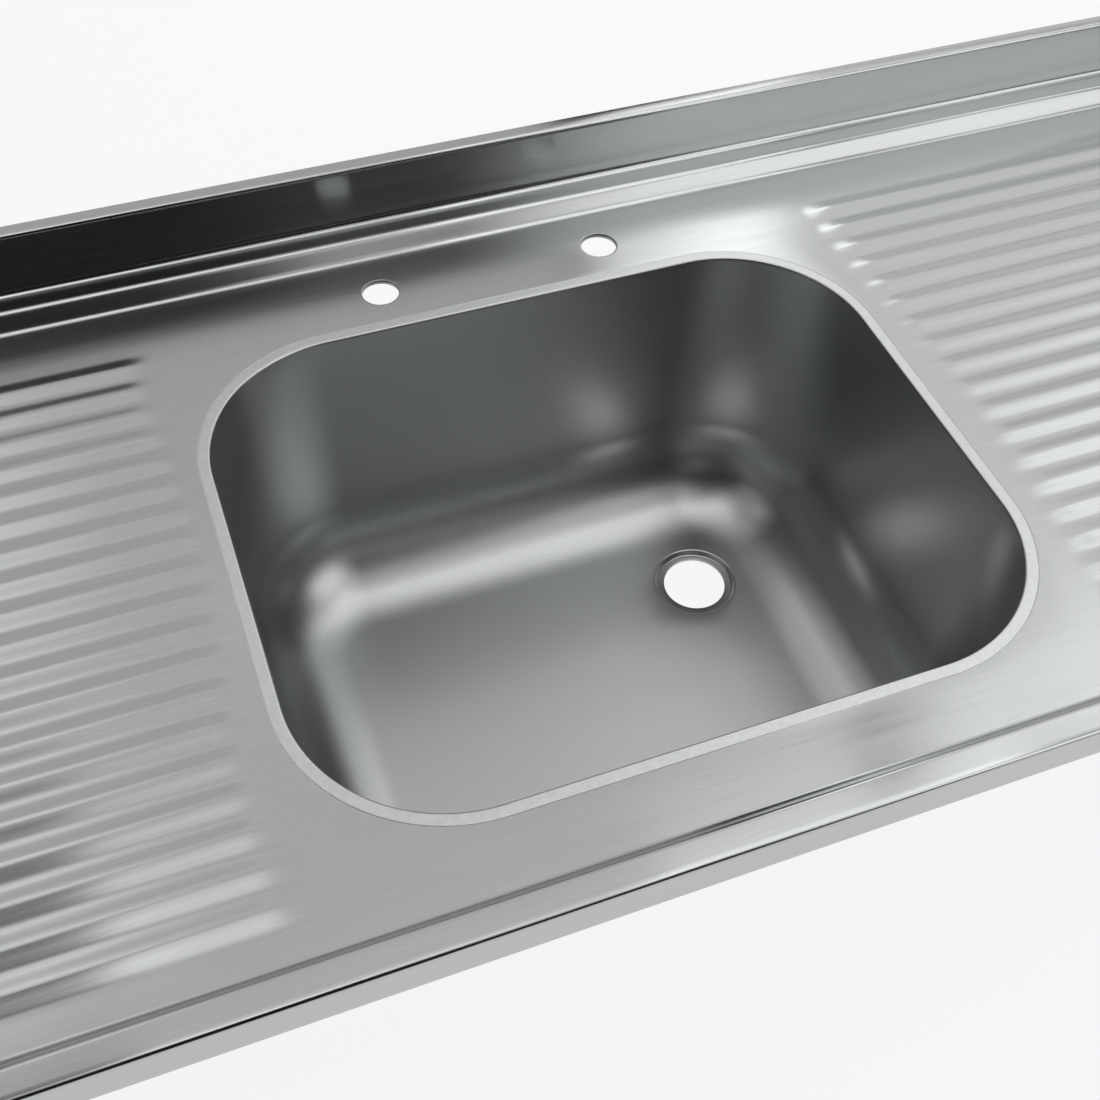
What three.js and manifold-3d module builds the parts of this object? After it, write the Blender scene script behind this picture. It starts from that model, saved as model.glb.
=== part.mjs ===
// A stainless steel sink top: one deep bowl between two fluted drainers, with a tap ledge and an
// upstand behind it. Millimetres, +X along the length, +Y to the back, +Z up. The origin is under the
// middle of the worktop, on the surface that the bowl stands on.
import * as THREE from "three";
import { mergeVertices } from "three/addons/utils/BufferGeometryUtils.js";
import Module from "manifold-3d";

const wasm = await Module();
wasm.setup();

// ---- driving dimensions ----------------------------------------------------------------------
// Heights are measured from the field, the flat sheet of the worktop, until the last lines.
const LENGTH = 1500;
const DEPTH = 600;
const SHEET = 1.2;
const SEAT_GAP = 0.3;

const RIM_HEIGHT = 11.8;
const RIM_WIDTH = 18.3;
const RIM_SLOPE_RUN = 7.5;
const RIM_EDGE_RADIUS = 2.6;
const APRON_HEIGHT = 29.3;
const RETURN_WIDTH = 12;
const OUTER_CORNER_RADIUS = 5;
const FIELD_CORNER_RADIUS = 16;

const LEDGE_WIDTH = 18.9;
const LEDGE_SLOPE_RUN = 11.1;
const UPSTAND_HEIGHT = 50.2;
const UPSTAND_THICKNESS = 13.9;
const UPSTAND_FOOT_RADIUS = 5;
const UPSTAND_TOP_RADIUS = 3.2;
const UPSTAND_RETURN = 22;
const UPSTAND_END_DRESSING = 0.2;
const END_CAP_THICKNESS = 1.2;

const BOWL_LENGTH = 490;
const BOWL_WIDTH = 398.8;
const BOWL_CENTRE_Y = -23.3;
const BOWL_CORNER_RADIUS = 103;
const BOWL_DEPTH = 246.5;
const BOWL_DRAFT = 6;
const BOWL_FLOOR_RADIUS = 72;
const BOWL_MOUTH_RADIUS = 1.8;
const BOWL_MOUTH_EASE = 0.7;
const BOWL_FLANGE = 7.6;
const WELD_WIDTH = 4;
const WELD_HEIGHT = 1.5;

const DRAIN_RADIUS = 26;
const DRAIN_SEAT_RADIUS = 33.9;
const DRAIN_SEAT_DEPTH = 3.5;
const DRAIN_SEAT_SLOPE = 2.5;
const DRAIN_X = 126.7;
const DRAIN_Y = 52.4;

const TAP_HOLE_RADIUS = 14;
const TAP_SPACING = 176.8;
const TAP_Y = 216.3;
const TAP_PLATE_LENGTH = 300;
const TAP_PLATE_WIDTH = 50;
const TAP_PLATE_THICKNESS = 2;

const FLUTE_PITCH = 24.16;
const FLUTE_HEIGHT = 1.45;
const FLUTE_COUNT = 19;
const FLUTE_INNER_END = 268;
const FLUTE_OUTER_MARGIN = 20;
const FLUTE_NOSE = 10;
const FLUTE_SINK = 0.06;
const LEFT_FLUTE_Y = 194.3;
const RIGHT_FLUTE_Y = 200.6;

const CHANNEL_WIDTH = 70;
const CHANNEL_CROWN = 34;
const CHANNEL_HEIGHT = 15;
const CHANNEL_SHEET = 1.5;
const CHANNEL_INSET = 62;
const CHANNEL_END_GAP = 8;
const RAIL_DEPTH = 14;
const RAIL_SHEET = 1.5;
const PAD_THICKNESS = 2.5;
const PAD_MARGIN = 14;
const BOWL_PAD_THICKNESS = 4;
const BOWL_PAD_MARGIN = 14;
const BOWL_PAD_CORNER = 20;
const BOWL_PAD_DRAIN_GAP = 8;

const GUSSET_SIDE = 84;
const GUSSET_CUT = 30;
const GUSSET_SHEET = 2.5;
const GUSSET_BOLT_RADIUS = 5.2;
const GUSSET_BOLT_INSET = 32;
const NUT_ACROSS_FLATS = 17;
const NUT_HEIGHT = 8;

const EARTH_SCREW_RADIUS = 2.5;
const EARTH_SCREW_LENGTH = 16;
const EARTH_HEAD_RADIUS = 4.8;
const EARTH_HEAD_HEIGHT = 3;
const EARTH_TAG_LENGTH = 26;
const EARTH_TAG_WIDTH = 6.4;
const EARTH_TAG_SHEET = 1;
const EARTH_WASHER_RADIUS = 5.5;
const EARTH_WASHER_THICKNESS = 1;
const EARTH_NUT_ACROSS_FLATS = 8;
const EARTH_NUT_HEIGHT = 4;
const EARTH_END_INSET = 190;

// ---- finishes --------------------------------------------------------------------------------
const brushedSteel = { color: 0xa9abaa, roughness: 0.32, metalness: 1 };
const satinSteel = { color: 0x8c8e90, roughness: 0.38, metalness: 1 };
const weldSteel = { color: 0xb9bab8, roughness: 0.45, metalness: 1 };
const galvanised = { color: 0x9aa0a2, roughness: 0.55, metalness: 0.9 };
const padBitumen = { color: 0x3a3b3c, roughness: 0.9, metalness: 0 };
const zincPlate = { color: 0xb4b3a8, roughness: 0.4, metalness: 1 };
const brass = { color: 0xc2a25a, roughness: 0.35, metalness: 1 };

// ---- solids ----------------------------------------------------------------------------------
// A closed geometry as a solid that can be cut and joined.
function solid(geometry) {
  const bare = geometry.clone();
  bare.deleteAttribute("normal");
  bare.deleteAttribute("uv");
  const merged = mergeVertices(bare, 1e-4);
  const vertProperties = new Float32Array(merged.attributes.position.array);
  const triVerts = new Uint32Array(merged.index.array);
  return new wasm.Manifold(new wasm.Mesh({ numProp: 3, vertProperties, triVerts }));
}

// A cut solid back as a geometry.
function surface(manifold) {
  const mesh = manifold.getMesh();
  const geometry = new THREE.BufferGeometry();
  geometry.setAttribute("position", new THREE.BufferAttribute(new Float32Array(mesh.vertProperties), 3));
  geometry.setIndex(new THREE.BufferAttribute(new Uint32Array(mesh.triVerts), 1));
  return geometry;
}

// A closed skin through equal-sized rings of points, with a flat cap on the first and last ring. The
// rings climb along Z, unless flatten says how to see them along another axis.
function loft(rings, flatten = (p) => new THREE.Vector2(p.x, p.y)) {
  const count = rings[0].length;
  const positions = rings.flat().flatMap((p) => [p.x, p.y, p.z]);
  const index = [];
  for (let ring = 0; ring + 1 < rings.length; ring += 1) {
    for (let k = 0; k < count; k += 1) {
      const a = ring * count + k;
      const b = ring * count + ((k + 1) % count);
      index.push(a, b, b + count, a, b + count, a + count);
    }
  }
  const first = rings[0].map(flatten);
  const last = rings[rings.length - 1].map(flatten);
  const lastAt = (rings.length - 1) * count;
  for (const [a, b, c] of THREE.ShapeUtils.triangulateShape(first, [])) index.push(c, b, a);
  for (const [a, b, c] of THREE.ShapeUtils.triangulateShape(last, [])) {
    index.push(lastAt + a, lastAt + b, lastAt + c);
  }
  const geometry = new THREE.BufferGeometry();
  geometry.setAttribute("position", new THREE.Float32BufferAttribute(positions, 3));
  geometry.setIndex(index);
  return solid(geometry);
}

// A rectangle with round corners at height z, counter-clockwise, as a ring of points.
function ring({ x0, x1, y0, y1 }, radius, z, steps = 6) {
  const r = Math.max(radius, 0.2);
  const corners = [[x1 - r, y1 - r, 0], [x0 + r, y1 - r, 1], [x0 + r, y0 + r, 2], [x1 - r, y0 + r, 3]];
  return corners.flatMap(([cx, cy, quarter]) =>
    Array.from({ length: steps + 1 }, (_, k) => {
      const angle = (quarter + k / steps) * (Math.PI / 2);
      return new THREE.Vector3(cx + r * Math.cos(angle), cy + r * Math.sin(angle), z);
    }),
  );
}

// A rectangle grown by the same amount on every side.
function grown({ x0, x1, y0, y1 }, by) {
  return { x0: x0 - by, x1: x1 + by, y0: y0 - by, y1: y1 + by };
}

function box(x0, x1, y0, y1, z0, z1) {
  const geometry = new THREE.BoxGeometry(x1 - x0, y1 - y0, z1 - z0);
  return solid(geometry.translate((x0 + x1) / 2, (y0 + y1) / 2, (z0 + z1) / 2));
}

function cylinder(radius, x, y, z0, z1, sides = 36) {
  const geometry = new THREE.CylinderGeometry(radius, radius, z1 - z0, sides);
  return solid(geometry.rotateX(Math.PI / 2).translate(x, y, (z0 + z1) / 2));
}

// A section drawn in (y, z), run along X from x0 to x1.
function runAlongX(section, x0, x1) {
  const geometry = new THREE.ExtrudeGeometry(section, { depth: x1 - x0, bevelEnabled: false });
  const toWorld = new THREE.Matrix4().set(0, 0, 1, x0, 1, 0, 0, 0, 0, 1, 0, 0, 0, 0, 0, 1);
  return solid(geometry.applyMatrix4(toWorld));
}

// A section drawn in (x, z), run along Y from y0 to y1.
function runAlongY(section, y0, y1) {
  const geometry = new THREE.ExtrudeGeometry(section, { depth: y1 - y0, bevelEnabled: false });
  const toWorld = new THREE.Matrix4().set(1, 0, 0, 0, 0, 0, -1, y1, 0, 1, 0, 0, 0, 0, 0, 1);
  return solid(geometry.applyMatrix4(toWorld));
}

// An outline drawn in (x, y), raised from z0 to z1.
function raised(outline, z0, z1) {
  const geometry = new THREE.ExtrudeGeometry(outline, { depth: z1 - z0, bevelEnabled: false });
  return solid(geometry.translate(0, 0, z0));
}

function polygon(points) {
  return new THREE.Shape(points.map(([u, v]) => new THREE.Vector2(u, v)));
}

// ---- the worktop's lines ---------------------------------------------------------------------
const HALF_LENGTH = LENGTH / 2;
const HALF_DEPTH = DEPTH / 2;
const UPSTAND_TOP = RIM_HEIGHT + UPSTAND_HEIGHT;
const UPSTAND_FRONT_Y = HALF_DEPTH - UPSTAND_THICKNESS;
const APRON_BOTTOM = RIM_HEIGHT - APRON_HEIGHT;
const REAR_BLOCK_Y = HALF_DEPTH - SHEET;
const CUT_PAST = 4; // how far a cutter runs past what it cuts
const ARC_STEPS = 5;
const BOWL_CORNER_STEPS = 9;

const fieldFoot = {
  x0: -HALF_LENGTH + RIM_WIDTH + RIM_SLOPE_RUN,
  x1: HALF_LENGTH - RIM_WIDTH - RIM_SLOPE_RUN,
  y0: -HALF_DEPTH + RIM_WIDTH + RIM_SLOPE_RUN,
  y1: UPSTAND_FRONT_Y - LEDGE_WIDTH - LEDGE_SLOPE_RUN,
};
const bowlMouth = {
  x0: -BOWL_LENGTH / 2,
  x1: BOWL_LENGTH / 2,
  y0: BOWL_CENTRE_Y - BOWL_WIDTH / 2,
  y1: BOWL_CENTRE_Y + BOWL_WIDTH / 2,
};

// The step from the field up to the rim, as shares of its run and of its height. Both ends are round.
const STEP_SHAPE = [[-0.2, 0], [0.06, 0.05], [0.2, 0.2], [0.8, 0.8], [0.94, 0.95], [1.2, 1]];

// The hollow that the field makes in the raised rim. An offset gives the same hollow one sheet
// further out, which is the sheet's underside.
function fieldHollow(offset) {
  const out = offset * 0.5;
  const rings = STEP_SHAPE.map(([run, rise]) => {
    const area = {
      x0: fieldFoot.x0 - RIM_SLOPE_RUN * run - out,
      x1: fieldFoot.x1 + RIM_SLOPE_RUN * run + out,
      y0: fieldFoot.y0 - RIM_SLOPE_RUN * run - out,
      y1: fieldFoot.y1 + LEDGE_SLOPE_RUN * run + out,
    };
    return ring(area, FIELD_CORNER_RADIUS + RIM_SLOPE_RUN * run + out, RIM_HEIGHT * rise - offset);
  });
  const mouth = rings[rings.length - 1].map((p) => new THREE.Vector3(p.x, p.y, RIM_HEIGHT + 1));
  return loft([...rings, mouth]);
}

// The outer block of rim and apron, with its top edge rolled over.
function rimBlock(offset, bottom) {
  const area = {
    x0: -HALF_LENGTH + offset,
    x1: HALF_LENGTH - offset,
    y0: -HALF_DEPTH + offset,
    y1: REAR_BLOCK_Y,
  };
  const top = RIM_HEIGHT - offset;
  const roll = RIM_EDGE_RADIUS - offset;
  const corner = OUTER_CORNER_RADIUS - offset;
  const rings = [ring(area, corner, bottom)];
  for (const angle of [0, 30, 60, 90].map(THREE.MathUtils.degToRad)) {
    const inset = roll * (1 - Math.cos(angle));
    rings.push(ring(grown(area, -inset), corner - inset, top - roll * (1 - Math.sin(angle))));
  }
  return loft(rings);
}

// The upstand's outer section: a round foot on the ledge, an upright front and a rolled top.
function upstandSection() {
  const foot = UPSTAND_FOOT_RADIUS;
  const roll = UPSTAND_TOP_RADIUS;
  const section = new THREE.Shape();
  section.moveTo(UPSTAND_FRONT_Y - foot, APRON_BOTTOM);
  section.lineTo(HALF_DEPTH, APRON_BOTTOM);
  section.lineTo(HALF_DEPTH, UPSTAND_TOP - roll);
  section.absarc(HALF_DEPTH - roll, UPSTAND_TOP - roll, roll, 0, Math.PI / 2, false);
  section.lineTo(UPSTAND_FRONT_Y + roll, UPSTAND_TOP);
  section.absarc(UPSTAND_FRONT_Y + roll, UPSTAND_TOP - roll, roll, Math.PI / 2, Math.PI, false);
  section.lineTo(UPSTAND_FRONT_Y, RIM_HEIGHT + foot);
  section.absarc(UPSTAND_FRONT_Y - foot, RIM_HEIGHT + foot, foot, 0, -Math.PI / 2, true);
  return new THREE.Shape(section.extractPoints(ARC_STEPS).shape);
}

// The space inside the upstand, at a distance from its outer faces. Above the rear return it is as
// deep as the upstand. Below, it runs out through the open back.
function upstandHollow(clear, bottom, returnBottom, openTo) {
  const front = UPSTAND_FRONT_Y + clear;
  const rear = HALF_DEPTH - clear;
  const top = UPSTAND_TOP - clear;
  const roll = UPSTAND_TOP_RADIUS - clear;
  const section = new THREE.Shape();
  section.moveTo(front, bottom);
  section.lineTo(openTo, bottom);
  section.lineTo(openTo, returnBottom);
  section.lineTo(rear, returnBottom);
  section.lineTo(rear, top - roll);
  section.absarc(rear - roll, top - roll, roll, 0, Math.PI / 2, false);
  section.lineTo(front + roll, top);
  section.absarc(front + roll, top - roll, roll, Math.PI / 2, Math.PI, false);
  return new THREE.Shape(section.extractPoints(ARC_STEPS).shape);
}

// ---- the flutes ------------------------------------------------------------------------------
// One flute across: up its steeper back, over a narrow crest and down its longer front to a round
// valley, as shares of half the pitch from the crest and of the height.
const FLUTE_SHAPE = [[-0.65, 0.19], [-0.09, 1], [0.09, 1], [0.85, 0.12], [1.06, 0]];
const VALLEY_BEHIND = 2 - FLUTE_SHAPE[FLUTE_SHAPE.length - 1][0];

// The nose at each end of a flute, as shares of the nose's length and of how far the crest has sunk.
const NOSE_SHAPE = [[0, 1.1], [0.4, 0.35], [1, 0]];

// A drainer's ribs as one panel, from xa to xb. Between the ribs it dips just under the field, so
// only the ribs stand out of it.
function flutePanel(xa, xb, firstY, offset) {
  const across = [[firstY + (VALLEY_BEHIND * FLUTE_PITCH) / 2, 0]];
  for (let flute = 0; flute < FLUTE_COUNT; flute += 1) {
    for (const [share, height] of FLUTE_SHAPE) {
      across.push([firstY - flute * FLUTE_PITCH - (share * FLUTE_PITCH) / 2, height * FLUTE_HEIGHT]);
    }
  }
  const nose = NOSE_SHAPE.map(([run, drop]) => [run * FLUTE_NOSE, drop * FLUTE_HEIGHT]);
  const stations = [
    ...nose.map(([run, drop]) => [xa + run, drop]),
    ...nose.map(([run, drop]) => [xb - run, drop]).reverse(),
  ];
  const floor = -SHEET / 2 - offset - FLUTE_HEIGHT;
  const rows = stations.map(([x, drop]) => {
    const top = across.map(([y, height]) => new THREE.Vector3(x, y, height - drop - FLUTE_SINK - offset));
    const ends = [top[top.length - 1], top[0]].map((p) => new THREE.Vector3(x, p.y, floor));
    return [...top, ...ends];
  });
  return loft(rows, (p) => new THREE.Vector2(p.y, p.z));
}

const fluteOuterEnd = fieldFoot.x1 - FLUTE_OUTER_MARGIN;

function flutes(offset) {
  const left = flutePanel(-fluteOuterEnd, -FLUTE_INNER_END, LEFT_FLUTE_Y, offset);
  const right = flutePanel(FLUTE_INNER_END, fluteOuterEnd, RIGHT_FLUTE_Y, offset);
  return left.add(right);
}

// ---- the worktop -----------------------------------------------------------------------------
// The upstand's ends are ground back a touch from the end aprons.
const upstandEnd = HALF_LENGTH - UPSTAND_END_DRESSING;
const tapHoles = [-TAP_SPACING / 2, TAP_SPACING / 2];
const cutOut = grown(bowlMouth, BOWL_FLANGE + SEAT_GAP);
const cutOutRadius = BOWL_CORNER_RADIUS + BOWL_FLANGE + SEAT_GAP;

function worktop() {
  const outside = rimBlock(0, APRON_BOTTOM)
    .add(runAlongX(upstandSection(), -upstandEnd, upstandEnd))
    .subtract(fieldHollow(0))
    .add(flutes(0));

  const below = APRON_BOTTOM - CUT_PAST;
  const returnTop = APRON_BOTTOM + SHEET;
  const returnBottom = UPSTAND_TOP - UPSTAND_RETURN;
  const pastEnds = HALF_LENGTH + CUT_PAST;
  const inside = rimBlock(SHEET, returnTop)
    .add(box(
      -HALF_LENGTH + RETURN_WIDTH,
      HALF_LENGTH - RETURN_WIDTH,
      -HALF_DEPTH + RETURN_WIDTH,
      UPSTAND_FRONT_Y + SHEET,
      below,
      returnTop + SHEET,
    ))
    .subtract(fieldHollow(SHEET))
    .add(flutes(SHEET))
    .add(runAlongX(
      upstandHollow(SHEET, below, returnBottom, HALF_DEPTH + CUT_PAST), -pastEnds, pastEnds));

  const bowlCut = [-CUT_PAST, CUT_PAST].map((z) => ring(cutOut, cutOutRadius, z, BOWL_CORNER_STEPS));
  let sheet = outside.subtract(inside).subtract(loft(bowlCut));
  for (const x of tapHoles) {
    sheet = sheet.subtract(cylinder(TAP_HOLE_RADIUS, x, TAP_Y, -CUT_PAST, CUT_PAST));
  }
  return sheet;
}

// ---- the bowl --------------------------------------------------------------------------------
// The mouth's outline at height z, grown by the same amount all round.
function mouthRing(by, z) {
  return ring(grown(bowlMouth, by), BOWL_CORNER_RADIUS + by, z, BOWL_CORNER_STEPS);
}

// The bowl's wall from the floor up to the mouth, as rings that keep the same corners.
function bowlRings(offset, top) {
  const radius = BOWL_FLOOR_RADIUS + offset;
  const steps = 7;
  const rings = [];
  for (let k = 0; k <= steps; k += 1) {
    const angle = ((k / steps) * Math.PI) / 2;
    const inset = BOWL_DRAFT + BOWL_FLOOR_RADIUS - radius * Math.sin(angle);
    rings.push([inset, -BOWL_DEPTH + BOWL_FLOOR_RADIUS - radius * Math.cos(angle)]);
  }
  rings.push([BOWL_MOUTH_EASE - offset, top]);
  if (offset === 0) rings.push([0, 0], [0, CUT_PAST]);
  return rings.map(([inset, z]) => mouthRing(-inset, z));
}

function bowl() {
  const outer = loft(bowlRings(SHEET, -SHEET / 2));
  const flange = loft([mouthRing(BOWL_FLANGE, -SHEET), mouthRing(BOWL_FLANGE, 0)]);
  const seatTop = -BOWL_DEPTH;
  const seatFloor = seatTop - DRAIN_SEAT_DEPTH;
  const boss = cylinder(DRAIN_SEAT_RADIUS + SHEET, DRAIN_X, DRAIN_Y, seatFloor - SHEET, seatTop);
  const inner = loft(bowlRings(0, -BOWL_MOUTH_RADIUS));
  const seat = new THREE.CylinderGeometry(
    DRAIN_SEAT_RADIUS, DRAIN_SEAT_RADIUS - DRAIN_SEAT_SLOPE, DRAIN_SEAT_DEPTH + 1, 36);
  seat.rotateX(Math.PI / 2).translate(DRAIN_X, DRAIN_Y, (seatFloor + seatTop + 1) / 2);
  return outer
    .add(flange)
    .add(boss)
    .subtract(inner)
    .subtract(solid(seat))
    .subtract(cylinder(DRAIN_RADIUS, DRAIN_X, DRAIN_Y, seatFloor - CUT_PAST, seatTop + CUT_PAST));
}

// The weld under the joint between flange and worktop: a low bead that follows the cut-out.
function bowlWeld() {
  const top = -SHEET - SEAT_GAP;
  const middle = BOWL_FLANGE + SEAT_GAP / 2;
  const wide = WELD_WIDTH / 2;
  const bead = loft([
    mouthRing(middle + wide * 0.6, top - WELD_HEIGHT),
    mouthRing(middle + wide, top - WELD_HEIGHT * 0.5),
    mouthRing(middle + wide, top),
  ]);
  const core = loft([
    mouthRing(middle - wide * 0.6, top - WELD_HEIGHT - 1),
    mouthRing(middle - wide * 0.6, top - WELD_HEIGHT),
    mouthRing(middle - wide, top - WELD_HEIGHT * 0.5),
    mouthRing(middle - wide, top + 1),
  ]);
  return bead.subtract(core);
}

// ---- under the worktop -----------------------------------------------------------------------
const underside = -SHEET - SEAT_GAP;

function upstandEndCap(side) {
  const outerFace = upstandEnd - SEAT_GAP;
  const from = side < 0 ? -outerFace : outerFace - END_CAP_THICKNESS;
  const clear = SHEET + SEAT_GAP;
  const section = upstandHollow(clear, RIM_HEIGHT, RIM_HEIGHT + SHEET, HALF_DEPTH - clear);
  return runAlongX(section, from, from + END_CAP_THICKNESS);
}

function tapLedgePlate() {
  const half = TAP_PLATE_LENGTH / 2;
  const top = underside;
  let plate = box(-half, half, TAP_Y - TAP_PLATE_WIDTH / 2, TAP_Y + TAP_PLATE_WIDTH / 2,
    top - TAP_PLATE_THICKNESS, top);
  for (const x of tapHoles) {
    plate = plate.subtract(cylinder(TAP_HOLE_RADIUS, x, TAP_Y, top - CUT_PAST, top + CUT_PAST));
  }
  return plate;
}

// A top-hat stiffener: two flanges against the sheet and a crown that hangs below them.
const channelCentres = [
  -fluteOuterEnd + CHANNEL_INSET,
  -FLUTE_INNER_END - CHANNEL_INSET,
  FLUTE_INNER_END + CHANNEL_INSET,
  fluteOuterEnd - CHANNEL_INSET,
];

function drainerChannel(x) {
  const flange = CHANNEL_WIDTH / 2;
  const crown = CHANNEL_CROWN / 2;
  const top = underside;
  const t = CHANNEL_SHEET;
  const section = polygon([
    [x - flange, top], [x - flange, top - t], [x - crown, top - t], [x - crown, top - CHANNEL_HEIGHT],
    [x + crown, top - CHANNEL_HEIGHT], [x + crown, top - t], [x + flange, top - t], [x + flange, top],
    [x + crown - t, top], [x + crown - t, top - CHANNEL_HEIGHT + t],
    [x - crown + t, top - CHANNEL_HEIGHT + t], [x - crown + t, top],
  ]);
  return runAlongY(section, fieldFoot.y0 + CHANNEL_END_GAP, fieldFoot.y1 - CHANNEL_END_GAP);
}

function drainerPad(side) {
  const reach = CHANNEL_WIDTH / 2 + PAD_MARGIN;
  const inner = FLUTE_INNER_END + CHANNEL_INSET + reach;
  const outer = fluteOuterEnd - CHANNEL_INSET - reach;
  const area = {
    x0: side < 0 ? -outer : inner,
    x1: side < 0 ? -inner : outer,
    y0: fieldFoot.y0 + PAD_MARGIN,
    y1: fieldFoot.y1 - PAD_MARGIN,
  };
  return loft([underside - PAD_THICKNESS, underside].map((z) => ring(area, PAD_MARGIN, z, 3)));
}

// A folded channel that lies open to the middle of the worktop. The wall is its upright side.
function rail(wallY, inward, bottom, top, halfLength) {
  const t = RAIL_SHEET * inward;
  const lip = wallY + RAIL_DEPTH * inward;
  const section = polygon([
    [wallY, bottom], [lip, bottom], [lip, bottom + RAIL_SHEET], [wallY + t, bottom + RAIL_SHEET],
    [wallY + t, top - RAIL_SHEET], [lip, top - RAIL_SHEET], [lip, top], [wallY, top],
  ]);
  return runAlongX(section, -halfLength, halfLength);
}

const returnTop = APRON_BOTTOM + SHEET;
const rimUnderside = RIM_HEIGHT - SHEET - SEAT_GAP;
const gussetEdge = HALF_LENGTH - SHEET - SEAT_GAP;

function frontRail() {
  const wall = -HALF_DEPTH + SHEET + SEAT_GAP;
  const rolled = RIM_EDGE_RADIUS - SHEET;
  return rail(wall, 1, returnTop + SEAT_GAP, rimUnderside - rolled, gussetEdge - GUSSET_SIDE - SEAT_GAP);
}

function rearRail() {
  const wall = UPSTAND_FRONT_Y + SHEET - SEAT_GAP;
  return rail(wall, -1, APRON_BOTTOM, rimUnderside, HALF_LENGTH - RETURN_WIDTH - SEAT_GAP);
}

// A corner plate on the returns, with its inner corner cut off and a bolt hole through it.
const gussetFront = -HALF_DEPTH + SHEET + SEAT_GAP;
const gussetRear = UPSTAND_FRONT_Y + SHEET - SEAT_GAP - RAIL_SHEET - SEAT_GAP;

function gusset(sideX, sideY) {
  const cornerX = sideX * gussetEdge;
  const cornerY = sideY < 0 ? gussetFront : gussetRear;
  const point = (u, v) => [cornerX - sideX * u, cornerY - sideY * v];
  const outline = [
    point(OUTER_CORNER_RADIUS, 0), point(GUSSET_SIDE, 0), point(GUSSET_SIDE, GUSSET_CUT),
    point(GUSSET_CUT, GUSSET_SIDE), point(0, GUSSET_SIDE), point(0, OUTER_CORNER_RADIUS),
  ];
  const bottom = returnTop + (sideY < 0 ? SEAT_GAP : RAIL_SHEET - SHEET + SEAT_GAP);
  const top = bottom + GUSSET_SHEET;
  const [boltX, boltY] = point(GUSSET_BOLT_INSET, GUSSET_BOLT_INSET);
  const plate = raised(polygon(outline), bottom, top)
    .subtract(cylinder(GUSSET_BOLT_RADIUS, boltX, boltY, bottom - CUT_PAST, top + CUT_PAST, 20));
  const nut = hexNut(NUT_ACROSS_FLATS, NUT_HEIGHT, GUSSET_BOLT_RADIUS, boltX, boltY, top + SEAT_GAP);
  return { plate, nut };
}

function hexNut(acrossFlats, height, bore, x, y, z) {
  const body = cylinder(acrossFlats / Math.sqrt(3), x, y, z, z + height, 6);
  return body.subtract(cylinder(bore, x, y, z - CUT_PAST, z + height + CUT_PAST, 20));
}

// The sound-deadening pad that the bowl stands on, notched round the drain.
function bowlFloorPad() {
  const flat = BOWL_DRAFT + BOWL_FLOOR_RADIUS + BOWL_PAD_MARGIN;
  const area = grown(bowlMouth, -flat);
  const top = -BOWL_DEPTH - SHEET - SEAT_GAP;
  const bottom = top - BOWL_PAD_THICKNESS;
  const pad = loft([bottom, top].map((z) => ring(area, BOWL_PAD_CORNER, z, 4)));
  const notch = DRAIN_SEAT_RADIUS + SHEET + BOWL_PAD_DRAIN_GAP;
  return pad.subtract(cylinder(notch, DRAIN_X, DRAIN_Y, bottom - CUT_PAST, top + CUT_PAST, 32));
}

// The bonding point: a screw through the rear rail's lower flange holds a tag with a washer and nut.
const earthX = HALF_LENGTH - EARTH_END_INSET;
const earthY = UPSTAND_FRONT_Y + SHEET - SEAT_GAP - RAIL_DEPTH / 2;
const earthBore = EARTH_SCREW_RADIUS + SEAT_GAP;
const flangeTop = APRON_BOTTOM + RAIL_SHEET;

function earthScrew() {
  const headTop = APRON_BOTTOM - SEAT_GAP;
  const headBottom = headTop - EARTH_HEAD_HEIGHT;
  const shankTop = headTop + EARTH_SCREW_LENGTH;
  return cylinder(EARTH_HEAD_RADIUS, earthX, earthY, headBottom, headTop, 20)
    .add(cylinder(EARTH_SCREW_RADIUS, earthX, earthY, headBottom + SEAT_GAP, shankTop, 16));
}

function earthRing(radius, z, thickness) {
  return cylinder(radius, earthX, earthY, z, z + thickness, 20)
    .subtract(cylinder(earthBore, earthX, earthY, z - CUT_PAST, z + thickness + CUT_PAST, 16));
}

function earthTag(z) {
  const half = EARTH_TAG_WIDTH / 2;
  const top = z + EARTH_TAG_SHEET;
  const blade = box(earthX, earthX + EARTH_TAG_LENGTH, earthY - half, earthY + half, z, top);
  return cylinder(EARTH_WASHER_RADIUS, earthX, earthY, z, top, 20)
    .add(blade)
    .subtract(cylinder(earthBore, earthX, earthY, z - CUT_PAST, top + CUT_PAST, 16));
}

// ---- assembly --------------------------------------------------------------------------------
const sink = new THREE.Group();
const fieldHeight = BOWL_DEPTH + SHEET + SEAT_GAP + BOWL_PAD_THICKNESS;

function place(name, shape, finish) {
  const mesh = new THREE.Mesh(surface(shape), new THREE.MeshStandardMaterial(finish));
  mesh.name = name;
  mesh.position.z = fieldHeight;
  sink.add(mesh);
}

let railWithHole = rearRail();
railWithHole = railWithHole.subtract(
  cylinder(earthBore, earthX, earthY, APRON_BOTTOM - CUT_PAST, flangeTop + CUT_PAST, 16));

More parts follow.
